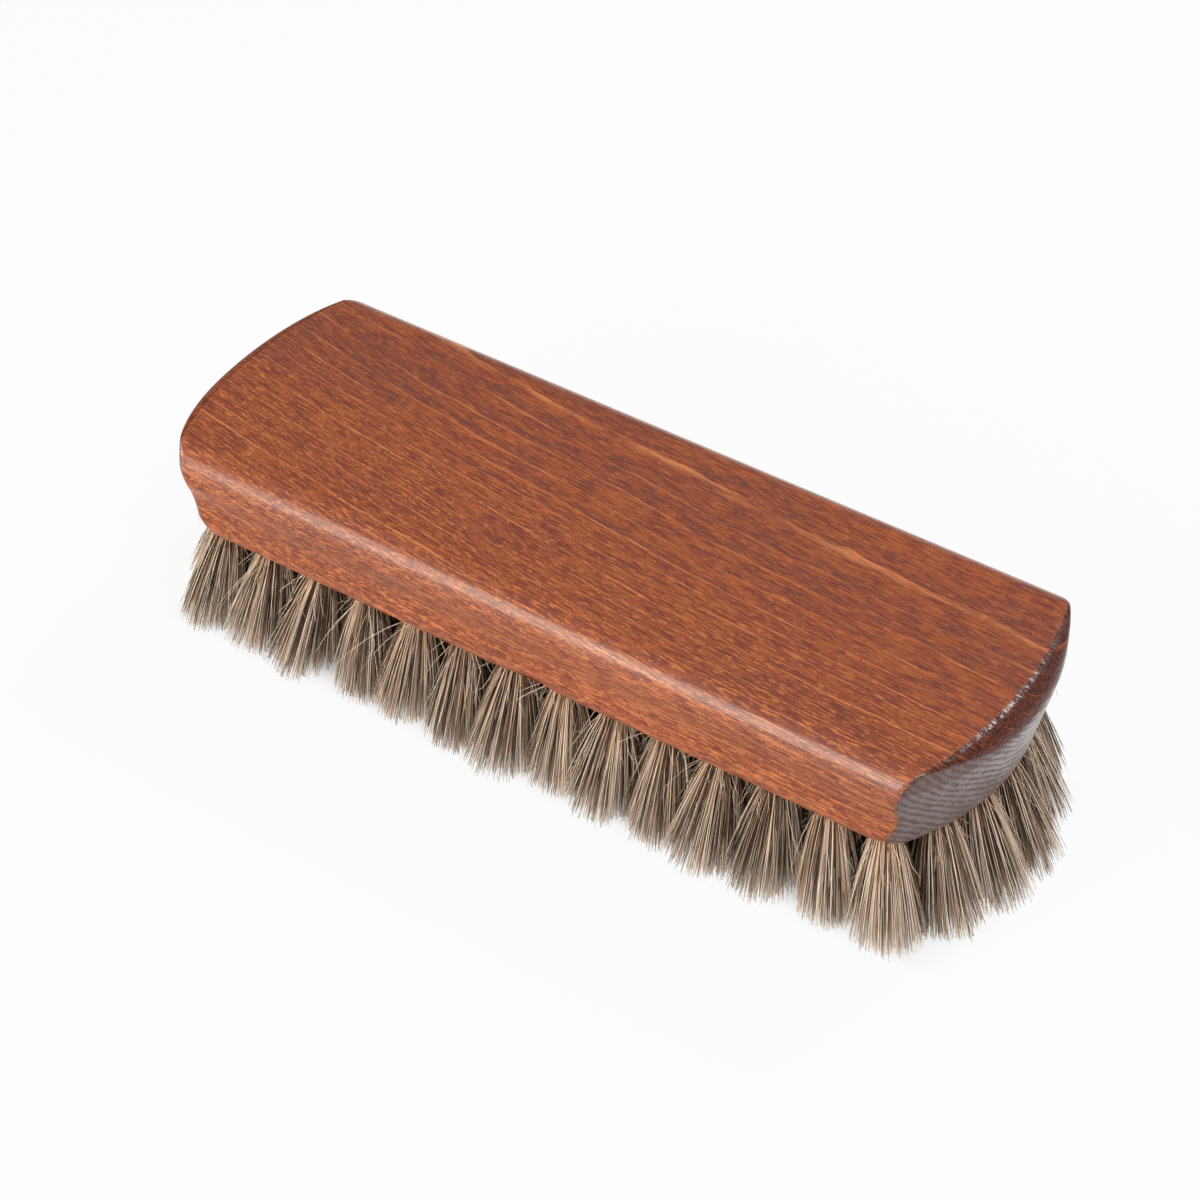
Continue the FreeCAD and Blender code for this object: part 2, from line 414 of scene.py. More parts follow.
blockLow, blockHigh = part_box("block")
woodBlock = {
    "topEdge": 5.6,
    "coveHeight": 6.5,
    "coveDepth": 2.1,
    "landHeight": 2.7,
    "landSwell": 0.5,
    "baseTuck": 1.2,
    "endRadius": 51.5,
    "endShoulder": 4.6,
    "endUndercut": 3.6,
    "bandRadius": 92.0,
    "bandInset": 3.9,
    "bandHeight": 3.3,
    "bandCrown": 0.6,
    "bandBlend": 0.8,
    "bandRelease": 3.0,                       # how fast the band's face swings clear below its foot
    "bandStain": 0.7,                         # how far the band's darker stain runs on below it
    "cornerRound": 1.0,
    "footRound": 3.5,                         # the corners are rounder at the foot of the block
    "footHeight": 4.0,
    "creaseRound": 0.6,
    "creaseStain": 0.1,                       # the top's stain laps this far over the crease
    "baseRound": 0.4,
    "fanCentre": 50.0,                        # the outline's points are spaced by rays from here
    "cornerSpread": math.radians(7.0),
    "sideSteps": 8,
    "cornerSteps": 12,
    "endSteps": 19,
    "baseLevels": 5,
    "bodyLevels": 26,
    "crownLevels": 26,
    "searchSteps": 40,
    "sharpAngle": math.radians(35.0),
    "weldGap": 1e-7,
    "holeRadius": 2.5,
    "holeDepth": 11.0,
    "holeSides": 16,
}
halfLength = (blockHigh.x - blockLow.x) / 2 / mm
halfWidth = (blockHigh.y - blockLow.y) / 2 / mm
thickness = (blockHigh.z - blockLow.z) / mm
underside = blockLow.z / mm
endAxis = halfLength - woodBlock["endRadius"]
bandAxis = halfLength - woodBlock["bandInset"] - woodBlock["bandRadius"]

bristleRows = {
    "outerRow": 23.4,
    "rows": 6,
    "holePitch": 11.5,
    "endHoleRadius": 42.9,
    "sideLean": 5.5,
    "endLean": 14.0,
    "leanPower": 3,
}


def rowPlaces(settings):
    rows = []
    for row in range(settings["rows"]):
        y = settings["outerRow"] * (2 * row / (settings["rows"] - 1) - 1)
        reach = endAxis + math.sqrt(settings["endHoleRadius"] ** 2 - y ** 2)
        count = round(2 * reach / settings["holePitch"]) + 1
        rows.append((y, reach, count))
    return rows


def holeSlope(x, y, settings):
    reach = endAxis + settings["endHoleRadius"]
    along = math.copysign(settings["endLean"] * abs(x / reach) ** settings["leanPower"], x)
    across = settings["sideLean"] * y / settings["outerRow"]
    return math.tan(math.radians(along)), math.tan(math.radians(across))


def arcInset(z, upright, other):
    across, rise = other[0] - upright[0], other[1] - upright[1]
    radius = (across ** 2 + rise ** 2) / (2 * across)
    reach = np.sqrt(np.maximum(radius ** 2 - (z - upright[1]) ** 2, 0.0))
    return upright[0] + radius - math.copysign(1.0, radius) * reach


def sideInset(z, form):
    land = (form["coveDepth"] - form["landSwell"], form["landHeight"])
    cove = (form["coveDepth"], form["coveHeight"])
    widest = (0.0, thickness - form["topEdge"])
    base = (land[0] + form["baseTuck"], 0.0)
    crown = (form["topEdge"], thickness)
    landTurn = ((land[0] + cove[0]) / 2, (land[1] + cove[1]) / 2)
    coveTurn = ((cove[0] + widest[0]) / 2, (cove[1] + widest[1]) / 2)
    steps = [(land[1], land, base), (landTurn[1], land, landTurn), (cove[1], cove, landTurn),
             (coveTurn[1], cove, coveTurn), (widest[1], widest, coveTurn), (thickness + 1.0, widest, crown)]
    inset = np.zeros_like(z)
    below = -1.0
    for top, upright, other in steps:
        inset = np.where((z > below) & (z <= top), arcInset(z, upright, other), inset)
        below = top
    return inset


def endReach(z, form):
    towardsBase = np.clip(1 - z / (thickness - form["endShoulder"]), 0.0, 1.0)
    return form["endRadius"] - form["endUndercut"] * towardsBase


def bandReach(z, form):
    run = math.hypot(form["bandInset"], form["bandHeight"])
    radius = (run ** 2 / 4 + form["bandCrown"] ** 2) / (2 * form["bandCrown"])
    inward = (radius - form["bandCrown"]) / run
    centreOut = form["bandRadius"] + form["bandInset"] / 2 - inward * form["bandHeight"]
    centreUp = thickness - form["bandHeight"] / 2 - inward * form["bandInset"]
    foot = thickness - form["bandHeight"]
    face = centreOut + np.sqrt(np.maximum(radius ** 2 - (np.maximum(z, foot) - centreUp) ** 2, 0.0))
    clear = form["bandRelease"] * np.maximum(foot - z, 0.0)
    return face + clear - eased(z, thickness, form["creaseRound"])


def rounded(first, second, radius):
    curve = radius - np.hypot(np.maximum(radius - first, 0.0), np.maximum(radius - second, 0.0))
    nearest = np.minimum(first, second)
    return np.where(nearest < radius, curve, nearest)


def eased(z, edge, radius):
    into = np.clip(1 - (edge - z) / radius, 0.0, 1.0)
    return radius * (1 - np.sqrt(1 - into ** 2))


def sideReach(z, form):
    return halfWidth - sideInset(z, form) - eased(-z, 0.0, form["baseRound"])


def depthInside(x, y, z, form):
    side = sideReach(z, form) - y
    end = endReach(z, form) - eased(-z, 0.0, form["baseRound"]) - np.hypot(x - endAxis, y)
    band = bandReach(z, form) - np.hypot(x - bandAxis, y)
    towardsFoot = np.clip(1 - z / form["footHeight"], 0.0, 1.0)
    corner = form["cornerRound"] + (form["footRound"] - form["cornerRound"]) * towardsFoot
    return rounded(side, rounded(end, band, form["bandBlend"]), corner)


def blockLevels(form):
    foot = thickness - form["topEdge"]
    crown = foot + form["topEdge"] * np.sin(np.linspace(0.0, math.pi / 2, form["crownLevels"]))
    base = form["baseRound"] * (1 - np.cos(np.linspace(0.0, math.pi / 2, form["baseLevels"])))
    body = np.linspace(form["baseRound"], foot, form["bodyLevels"])
    return np.concatenate([base, body[1:], crown[1:]])


def cornerAngle(z, form):
    width = sideReach(z, form)
    end = endAxis + np.sqrt((endReach(z, form) - eased(-z, 0.0, form["baseRound"])) ** 2 - width ** 2)
    band = bandAxis + np.sqrt(bandReach(z, form) ** 2 - width ** 2)
    return np.arctan2(width, np.minimum(end, band) - form["fanCentre"])


def quarterOutline(form):
    z = blockLevels(form)[:, None]
    corner = cornerAngle(z, form)
    square, straight = np.full_like(corner, math.pi / 2), 0 * corner
    spread = form["cornerSpread"]
    stops = [(square, form["sideSteps"]), (corner + spread, form["cornerSteps"]),
             (corner, form["cornerSteps"]), (corner - spread, form["endSteps"]), (straight, 0)]
    angles = [here + (ahead - here) * np.linspace(0.0, 1.0, steps, endpoint=False)[None, :]
              for (here, steps), (ahead, _) in zip(stops, stops[1:])]
    angles = np.concatenate(angles + [straight], axis=1)
    alongSide = np.linspace(0.0, form["fanCentre"], form["sideSteps"], endpoint=False)[None, :]
    alongSide = np.repeat(alongSide, len(z), axis=0)
    originX = np.concatenate([alongSide, np.full_like(angles, form["fanCentre"])], axis=1)
    wayX = np.concatenate([0 * alongSide, np.cos(angles)], axis=1)
    wayY = np.concatenate([0 * alongSide + 1.0, np.sin(angles)], axis=1)
    near, far = np.zeros_like(originX), np.full_like(originX, halfLength)
    for _ in range(form["searchSteps"]):
        middle = (near + far) / 2
        inside = depthInside(originX + wayX * middle, wayY * middle, z, form) > 0
        near, far = np.where(inside, middle, near), np.where(inside, far, middle)
    return originX + wayX * near, wayY * near, np.repeat(z, originX.shape[1], axis=1)


def wholeRing(quarter, flipX, flipY):
    back = quarter[:, ::-1]
    parts = [quarter, flipY * back[:, 1:], flipX * flipY * quarter[:, 1:], flipX * back[:, 1:-1]]
    return np.concatenate(parts, axis=1)


def makeBlock(form):
    x, y, z = quarterOutline(form)
    quarter = x.shape[1] - 1
    rings = [wholeRing(x, -1, 1), wholeRing(y, 1, -1), wholeRing(z, 1, 1)]
    levels, around = rings[0].shape
    points = np.stack(rings, axis=2).reshape(-1, 3)
    cornerStep = 2 * form["sideSteps"] + form["cornerSteps"]
    crease = thickness - form["creaseStain"]
    bandGap = bandReach(z, form) - np.hypot(x - bandAxis, y)
    endGap = endReach(z, form) - np.hypot(x - endAxis, y)
    onBand = bandGap < endGap + form["bandStain"]
    order = list(woodFinishes)
    faces, finish = [], []
    for level in range(levels - 1):
        low, high = level * around, (level + 1) * around
        for i in range(around):
            j = (i + 1) % around
            step = min(i % (2 * quarter), 2 * quarter - 1 - i % (2 * quarter))
            faces.append((low + j, low + i, high + i, high + j))
            kind = "long"
            if step >= cornerStep and z[level, 0] < crease:
                kind = "end"
                if onBand[level, min(step, quarter)]:
                    kind = "band" if i < 2 * quarter else "leftBand"
            finish.append(order.index(kind))
    top = (levels - 1) * around
    for tip, way in ((quarter, 1), (3 * quarter, -1)):
        for k in range(quarter):
            edges = [tip - way * k, tip - way * (k + 1), tip + way * (k + 1), tip + way * k]
            quad = [top + e % around for e in edges]
            faces.append(tuple(dict.fromkeys(quad if way > 0 else quad[::-1])))
    points, faces = boreHoles(points, faces, list(range(around)), form)
    mesh = bpy.data.meshes.new("woodenBlock")
    mesh.from_pydata((points + (0, 0, underside)) * mm, [], faces)
    for material in woodFinishes.values():
        mesh.materials.append(material)
    mesh.polygons.foreach_set("material_index", finish + [0] * (len(faces) - len(finish)))
    mesh.shade_smooth()
    mesh.set_sharp_from_angle(angle=form["sharpAngle"])
    piece = bpy.data.objects.new("wooden_block", mesh)
    bpy.context.scene.collection.objects.link(piece)
    return piece


def boreHoles(points, faces, outline, form):
    sides = form["holeSides"]
    turns = np.arange(sides) * 2 * math.pi / sides
    points = list(map(tuple, points))
    flat = [Vector(points[i][:2]) for i in outline]
    edges = [(i, (i + 1) % len(outline)) for i in range(len(outline))]
    index = list(outline)
    centres = []
    for y, reach, count in rowPlaces(bristleRows):
        for k in range(count):
            x = reach * (2 * k / (count - 1) - 1)
            slope = holeSlope(x, y, bristleRows)
            first = len(points)
            for depth in (0.0, form["holeDepth"]):
                for t in turns:
                    rim = (x - slope[0] * depth + form["holeRadius"] * math.cos(t),
                           y - slope[1] * depth + form["holeRadius"] * math.sin(t), depth)
                    points.append(rim)
            start = len(flat)
            for s in range(sides):
                flat.append(Vector(points[first + s][:2]))
                index.append(first + s)
                edges.append((start + s, start + (s + 1) % sides))
                n = (s + 1) % sides
                faces.append((first + s, first + n, first + sides + n, first + sides + s))
            faces.append(tuple(first + sides + s for s in range(sides)))
            centres.append((x, y))
    made = delaunay_2d_cdt(flat, edges, [], 0, form["weldGap"])
    centres = np.array(centres)
    for triangle in made[2]:
        middle = sum((made[0][i] for i in triangle), Vector((0, 0))) / 3
        if np.hypot(*(centres - middle).T).min() > form["holeRadius"]:
            faces.append(tuple(index[made[3][i][0]] for i in reversed(triangle)))
    return np.array(points), faces


woodenBlock = makeBlock(woodBlock)
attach(woodenBlock, "root")
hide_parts("block")
print("wooden block made:", len(woodenBlock.data.polygons), "faces")


# horsehair: each hair has its own tone, paler at the tip and darker, warmer towards the root; that root
# tint is painted shade with the warm glow of light bounced between hairs

horsehair = {
    "tones": [(0.33, (0.046, 0.021, 0.009, 1.0)), (0.43, (0.19, 0.100, 0.051, 1.0)),
              (0.54, (0.49, 0.330, 0.212, 1.0)), (0.67, (0.95, 0.78, 0.63, 1.0))],
    # painted shade: the roots are darkened and warmed, standing in for the shade and warm bounce light
    # between the tufts
    "root": (0.96, 0.81, 0.69, 1.0),
    "tip": (0.84, 0.69, 0.53, 1.0),
    "rootFade": (0.05, 0.6),                   # along the hair, from its root
    "tipStart": 0.65,
    "tipFade": 0.25,
    "roughness": 0.42,
    "ior": 1.45,
}


def makeHorsehair(settings):
    material, tree, surface = newMaterial("horsehair")
    tone = place(tree, "ShaderNodeAttribute", attribute_name="hairTone").outputs["Fac"]
    along = place(tree, "ShaderNodeAttribute", attribute_name="hairAlong").outputs["Fac"]
    ramp = place(tree, "ShaderNodeValToRGB", {0: tone})
    stops = ramp.color_ramp.elements
    while len(stops) < len(settings["tones"]):
        stops.new(0.5)
    for stop, (position, color) in zip(stops, settings["tones"]):
        stop.position = position
        stop.color = color
    # painted shade and warm bounce light, strongest at the root
    fromRoot = ramped(tree, along, *settings["rootFade"])
    shade = mixedColor(tree, fromRoot, settings["root"], (1.0, 1.0, 1.0, 1.0))
    color = mixedColor(tree, 1.0, ramp.outputs["Color"], shade, "MULTIPLY")
    pale = ramped(tree, along, settings["tipStart"], 1.0, 0.0, settings["tipFade"])
    give(tree, surface.inputs["Base Color"], mixedColor(tree, pale, color, settings["tip"]))
    surface.inputs["Roughness"].default_value = settings["roughness"]
    surface.inputs["IOR"].default_value = settings["ior"]
    return material


horsehairMaterial = makeHorsehair(horsehair)

tuftHair = {
    "Mouth Radius": 2.35 * mm,
    "Tip Radius": 8.0 * mm,
    "Radius Change": 0.16,                     # how far one tuft's spread differs from the next, as a share
    "Hair Length": underside * mm,
    "Root Depth": 3.0 * mm,
    "Neck": 0.6 * mm,
    "Fan Power": 0.75,
    "End Lean": math.radians(14.5),
    "Corner Ease": 0.38,                       # the share of that lean lost in the outermost rows
    "End Reach": (endAxis + bristleRows["endHoleRadius"]) * mm,
    "Lean Power": 2.2,
    "Comb Lean": math.radians(4.0),            # the middle tufts lie a little towards the left end
    "Side Lean": math.radians(7.5),
    "Side Reach": bristleRows["outerRow"] * mm,
    "Lean Change": 0.07,
    "Locks": 4.0,
    "Lock Pull": 0.45,
    "Tip Scatter": 0.15,
    "Tip Unevenness": 2.6 * mm,
    "Lock Unevenness": 1.6 * mm,
    "Edge Lift": 3.0 * mm,
    "Curl": 0.5 * mm,
    "Stray Share": 0.012,
    "Stray Reach": 24.0 * mm,
    "Fuzz Share": 0.045,                       # short curly hairs near the roots
    "Fuzz Length": 7.0 * mm,
    "Fuzz Reach": 5.0 * mm,
    "Fuzz Curl": 1.1 * mm,
    "Hair Thickness": 0.22 * mm,
    # painted light: a lift towards paler tones, used to brighten the shaded inner tufts
    "Painted Light Lift": 0.0,
}
tuftKinds = {
    "edge": {"Hairs": 760},
    # the inner tufts are drawn paler: painted light standing in for the light that reaches their shade
    "inner": {"Hairs": 450, "Tip Radius": 9.0 * mm, "Fan Power": 0.5, "Painted Light Lift": 0.12},
}
hairKnots = 6
hairSides = 3
seedStep = 100000                              # keeps the groups' random numbers apart
hairDraws = {                                  # seed, lowest and highest of each random draw
    "angle": (1, 0.0, 2 * math.pi),
    "fromCentre": (2, 0.0, 1.0),
    "scatterAlong": (3, -1.0, 1.0),
    "scatterAcross": (4, -1.0, 1.0),
    "kind": (5, 0.0, 1.0),
    "shortness": (6, 0.0, 1.0),
    "strayShortness": (8, 0.1, 0.5),
    "tuftLeanAlong": (9, -1.0, 1.0),
    "tuftLeanAcross": (10, -0.5, 0.5),
    "curlStart": (11, 0.0, 2 * math.pi),
    "strayAlong": (12, -1.0, 0.7),
    "strayAcross": (13, 0.05, 0.4),
    "tone": (14, 0.0, 1.0),
    "girth": (15, 0.36, 0.62),
    "tuftSpread": (16, -1.0, 1.0),
    "fuzzLength": (17, 0.5, 1.5),
    "fuzzAlong": (18, -1.0, 1.0),
    "fuzzAcross": (19, -0.6, 0.6),
}
hairForm = {
    "lockShuffle": 7.31,                       # sets each tuft's locks apart from the next one's
    "cornerPower": 4.0,
    "curlTurns": 3.6,                          # radians along the hair
    "fuzzTurns": 3.4,
    "curlSkew": 1.3,
    "strayCurl": 2.0,
    "strayCalm": 0.8,                          # the share of a stray's reach lost towards the ends
    "ownTone": 0.65,
    "lockTone": 0.35,
    "strayTone": 0.8,
    "fuzzTone": 0.6,
    "looseThinning": 0.3,
    "taper": 0.6,
}


def draw(tree, number, seed, low, high):
    feeds = {2: low, 3: high, "ID": number, "Seed": seed}
    return place(tree, "FunctionNodeRandomValue", feeds, data_type="FLOAT").outputs[1]


def stored(tree, geometry, name, value, kind="FLOAT"):
    feeds = {"Geometry": geometry, "Name": name, "Value": value}
    return place(tree, "GeometryNodeStoreNamedAttribute", feeds, data_type=kind, domain="POINT").outputs[0]


def named(tree, name, kind="FLOAT"):
    return place(tree, "GeometryNodeInputNamedAttribute", {"Name": name}, data_type=kind).outputs[0]


def copies(tree, geometry, amount):
    feeds = {"Geometry": geometry, "Amount": amount}
    return place(tree, "GeometryNodeDuplicateElements", feeds, domain="POINT").outputs


def makeTuftTree():
    inputs = [("Seats", "Geometry"), ("Hairs", "Int"), ("Seed", "Int"), ("Hair Material", "Material")]
    inputs += [(name, "Float") for name in tuftHair]
    tree, given, out = newGroup("tufts", "GeometryNodeTree", inputs, [("Geometry", "Geometry")])

    def times(first, second):
        return calc(tree, "MULTIPLY", first, second)

    def plus(first, second):
        return calc(tree, "ADD", first, second)

    def minus(first, second):
        return calc(tree, "SUBTRACT", first, second)

    def added(*vectors):
        total = vectors[0]
        for vector in vectors[1:]:
            total = vectorCalc(tree, "ADD", total, vector)
        return total

    def squared(value):
        return calc(tree, "POWER", value, 2.0)

    def drawn(name):
        return draw(tree, tuft if name.startswith("tuft") else hair, *hairDraws[name])

    seats = place(tree, "GeometryNodeMeshToPoints", {0: given["Seats"]}).outputs[0]
    numbered = plus(place(tree, "GeometryNodeInputIndex").outputs[0], given["Seed"])
    seats = stored(tree, seats, "tuftNumber", numbered, "INT")
    hairs = stored(tree, copies(tree, seats, given["Hairs"])[0], "hairNumber", numbered, "INT")
    knots, knot = copies(tree, hairs, hairKnots)
    knots = stored(tree, knots, "hairAlong", calc(tree, "DIVIDE", knot, hairKnots - 1.0))
    tuft, hair = named(tree, "tuftNumber", "INT"), named(tree, "hairNumber", "INT")
    along = named(tree, "hairAlong")
    x, y, _ = separated(tree, place(tree, "GeometryNodeInputPosition").outputs[0])

    # where the hair sits in its hole, and the lock that it joins
    angle = drawn("angle")
    share = calc(tree, "SQRT", drawn("fromCentre"))
    disc = scaled(tree, combined(tree, calc(tree, "COSINE", angle), calc(tree, "SINE", angle), 0.0), share)
    apart = combined(tree, 0.0, 0.0, times(tuft, hairForm["lockShuffle"]))
    lockPlace = added(scaled(tree, disc, given["Locks"]), apart)
    locks = place(tree, "ShaderNodeTexVoronoi", {"Vector": lockPlace, "Scale": 1.0})
    lockCentre = vectorCalc(tree, "MULTIPLY", locks.outputs["Position"], (1.0, 1.0, 0.0))
    lockCentre = scaled(tree, lockCentre, calc(tree, "DIVIDE", 1.0, given["Locks"]))
    pull = scaled(tree, vectorCalc(tree, "SUBTRACT", lockCentre, disc), given["Lock Pull"])
    scatter = combined(tree, drawn("scatterAlong"), drawn("scatterAcross"), 0.0)
    tip = added(disc, pull, scaled(tree, scatter, given["Tip Scatter"]))
    lockTone, lockShort, _ = separated(tree, locks.outputs["Color"])

    # how far it drops: trimmed level, with uneven tips
    kind = drawn("kind")
    stray = calc(tree, "LESS_THAN", kind, given["Stray Share"])
    fuzz = calc(tree, "GREATER_THAN", kind, minus(1.0, given["Fuzz Share"]))
    short = times(squared(drawn("shortness")), given["Tip Unevenness"])
    short = plus(short, times(squared(lockShort), given["Lock Unevenness"]))
    short = plus(short, times(squared(vectorCalc(tree, "LENGTH", tip)), given["Edge Lift"]))
    strayShort = times(times(stray, drawn("strayShortness")), given["Hair Length"])
    fullLength = minus(minus(given["Hair Length"], short), strayShort)
    fuzzLength = times(given["Fuzz Length"], drawn("fuzzLength"))
    length = plus(fullLength, times(fuzz, minus(fuzzLength, fullLength)))
    drop = minus(times(along, plus(length, given["Root Depth"])), given["Root Depth"])

    # how it leans with its tuft, fans out and curls
    lengthwise = calc(tree, "DIVIDE", calc(tree, "ABSOLUTE", x), given["End Reach"])
    crosswise = calc(tree, "DIVIDE", y, given["Side Reach"])
    outward = calc(tree, "POWER", lengthwise, given["Lean Power"])
    towardsCorner = calc(tree, "POWER", calc(tree, "ABSOLUTE", crosswise), hairForm["cornerPower"])
    kept = minus(1.0, times(towardsCorner, given["Corner Ease"]))
    endLean = times(times(times(outward, given["End Lean"]), calc(tree, "SIGN", x)), kept)
    sideLean = times(crosswise, given["Side Lean"])
    combed = times(minus(outward, 1.0), given["Comb Lean"])
    slopeX = calc(tree, "TANGENT", plus(endLean, combed))
    slopeX = plus(slopeX, times(drawn("tuftLeanAlong"), given["Lean Change"]))
    slopeY = plus(calc(tree, "TANGENT", sideLean), times(drawn("tuftLeanAcross"), given["Lean Change"]))
    lean = scaled(tree, combined(tree, slopeX, slopeY, -1.0), drop)
    freeShare = calc(tree, "DIVIDE", minus(drop, given["Neck"]), minus(given["Hair Length"], given["Neck"]))
    fan = calc(tree, "POWER", calc(tree, "MAXIMUM", freeShare, 0.0), given["Fan Power"])
    tipRadius = times(given["Tip Radius"], plus(1.0, times(drawn("tuftSpread"), given["Radius Change"])))
    root = scaled(tree, disc, given["Mouth Radius"])
    spread = scaled(tree, vectorCalc(tree, "SUBTRACT", scaled(tree, tip, tipRadius), root), fan)
    turns = calc(tree, "MULTIPLY_ADD", fuzz, hairForm["fuzzTurns"], hairForm["curlTurns"])
    turn = plus(times(along, turns), drawn("curlStart"))
    skewedTurn = times(turn, hairForm["curlSkew"])
    curl = combined(tree, calc(tree, "SINE", turn), calc(tree, "COSINE", skewedTurn), 0.0)
    curlSize = times(times(given["Curl"], fan), plus(1.0, times(stray, hairForm["strayCurl"])))
    curlSize = plus(curlSize, times(times(fuzz, along), given["Fuzz Curl"]))
    curl = scaled(tree, curl, curlSize)
    strayOut = times(drawn("strayAcross"), calc(tree, "SIGN", y))
    strayWay = combined(tree, drawn("strayAlong"), strayOut, 0.0)
    strayReach = times(given["Stray Reach"], minus(1.0, times(outward, hairForm["strayCalm"])))
    bow = scaled(tree, strayWay, times(times(stray, strayReach), fan))
    fuzzWay = combined(tree, drawn("fuzzAlong"), drawn("fuzzAcross"), 0.0)
    bow = added(bow, scaled(tree, fuzzWay, times(times(fuzz, given["Fuzz Reach"]), along)))
    offset = added(root, spread, lean, curl, bow)

    # its tone and girth
    tone = plus(times(drawn("tone"), hairForm["ownTone"]), times(lockTone, hairForm["lockTone"]))
    # painted light: the shaded inner tufts are shifted to paler tones
    tone = plus(tone, given["Painted Light Lift"])
    strayTone, fuzzTone = times(stray, hairForm["strayTone"]), times(fuzz, hairForm["fuzzTone"])
    tone = calc(tree, "MAXIMUM", tone, calc(tree, "MAXIMUM", strayTone, fuzzTone))
    girth = times(given["Hair Thickness"], drawn("girth"))
    girth = times(girth, minus(1.0, times(plus(stray, fuzz), hairForm["looseThinning"])))
    taper = minus(1.0, times(squared(along), hairForm["taper"]))
    toned = stored(tree, knots, "hairTone", tone)
    sized = stored(tree, toned, "hairGirth", times(girth, taper))
    bent = place(tree, "GeometryNodeSetPosition", {"Geometry": sized, "Offset": offset}).outputs[0]
    feeds = {0: bent, "Curve Group ID": hair, "Weight": along}
    strands = place(tree, "GeometryNodePointsToCurves", feeds).outputs[0]
    feeds = {"Resolution": hairSides, "Radius": 1.0}
    ring = place(tree, "GeometryNodeCurvePrimitiveCircle", feeds).outputs[0]
    feeds = {"Curve": strands, "Profile Curve": ring, "Scale": named(tree, "hairGirth"), "Fill Caps": True}
    tubes = place(tree, "GeometryNodeCurveToMesh", feeds).outputs[0]
    smooth = place(tree, "GeometryNodeSetShadeSmooth", {0: tubes}).outputs[0]
    real = place(tree, "GeometryNodeRealizeInstances", {0: smooth}).outputs[0]
    feeds = {0: real, "Material": given["Hair Material"]}
    finished = place(tree, "GeometryNodeSetMaterial", feeds).outputs[0]
    give(tree, out["Geometry"], finished)
    return tree


def growTufts(tree, name, seats, values):
    mesh = bpy.data.meshes.new(name)
    mesh.from_pydata([(x * mm, y * mm, underside * mm) for x, y in seats], [], [])
    piece = bpy.data.objects.new(name, mesh)
    bpy.context.scene.collection.objects.link(piece)
    modifier = piece.modifiers.new("tufts", "NODES")
    modifier.node_group = tree
    for socket in tree.interface.items_tree:
        if socket.in_out == "INPUT" and socket.name in values:
            modifier[socket.identifier] = values[socket.name]
    graph = bpy.context.evaluated_depsgraph_get()
    grown = piece.evaluated_get(graph)
    piece.data = bpy.data.meshes.new_from_object(grown, preserve_all_data_layers=True, depsgraph=graph)
    piece.modifiers.remove(modifier)
    piece.data.name = name
    for spare in ("tuftNumber", "hairNumber", "hairGirth"):
        piece.data.attributes.remove(piece.data.attributes[spare])
    return piece


# each hair gets a cell of its own on the piece's flat map, its sides above and its two ends below

hairMap = {
    "margin": 0.05,
    "endStep": 1.5,
    "endHeight": 0.12,
    "sideStart": 0.2,
}


def mapHairs(mesh):
    perHair = hairKnots * hairSides
    corner = np.zeros(len(mesh.loops), int)
    mesh.loops.foreach_get("vertex_index", corner)
    size = np.zeros(len(mesh.polygons), int)
    mesh.polygons.foreach_get("loop_total", size)
    face = np.repeat(np.arange(len(size)), size)
    hair, spot = corner // perHair, corner % perHair
    knot, side = spot // hairSides, spot % hairSides
    firstSide = np.full(len(size), hairSides)
    lastSide = np.zeros(len(size), int)
    np.minimum.at(firstSide, face, side)
    np.maximum.at(lastSide, face, side)
    isEnd = size[face] == hairSides
    wraps = (firstSide[face] == 0) & (lastSide[face] == hairSides - 1) & (side == 0) & ~isEnd
    sideways = (side + hairSides * wraps) / hairSides
    step, start, margin = hairMap["endStep"], hairMap["sideStart"], hairMap["margin"]
    u = np.where(isEnd, (np.minimum(side, 1) + step * (knot > 0)) / (1 + step), sideways)
    upward = start + (1 - start) * knot / (hairKnots - 1)
    v = np.where(isEnd, hairMap["endHeight"] * (side == hairSides - 1), upward)
    cells = math.ceil(math.sqrt(hair.max() + 1))
    inCell = margin + (1 - 2 * margin) * np.stack([u, v], axis=1)
    flat = (np.stack([hair % cells, hair // cells], axis=1) + inCell) / cells
    mesh.uv_layers.new(name="OFBake").uv.foreach_set("vector", flat.astype(np.float32).ravel())


def tuftGroups():
    rows = []
    for y, reach, count in rowPlaces(bristleRows):
        rows.append([(reach * (2 * k / (count - 1) - 1), y) for k in range(count)])
    near, far, inner = rows[0], rows[-1], rows[1:-1]
    half = len(near) // 2
    firstEnd, firstFar = len(near) + 1, len(near) + 2 * len(inner) + 1

    def edgeNodes(first, count, step=1):
        return [f"edge_tuft_{first + step * n:02d}" for n in range(count)]

    groups = {
        "hair_near_left": ("edge", near[:half], edgeNodes(1, half)),
        "hair_near_right": ("edge", near[half:], edgeNodes(1 + half, len(near) - half)),
        "hair_far_left": ("edge", far[:half], edgeNodes(firstFar, half)),
        "hair_far_right": ("edge", far[half:], edgeNodes(firstFar + half, len(far) - half)),
        "hair_left_end": ("edge", [row[0] for row in inner], edgeNodes(firstEnd, len(inner), 2)),
        "hair_right_end": ("edge", [row[-1] for row in inner], edgeNodes(firstEnd + 1, len(inner), 2)),
    }
    for number, row in enumerate(inner, 2):
        groups[f"hair_inner_row_{number}"] = ("inner", row[1:-1], [f"inner_tufts_row_{number}"])
    return groups


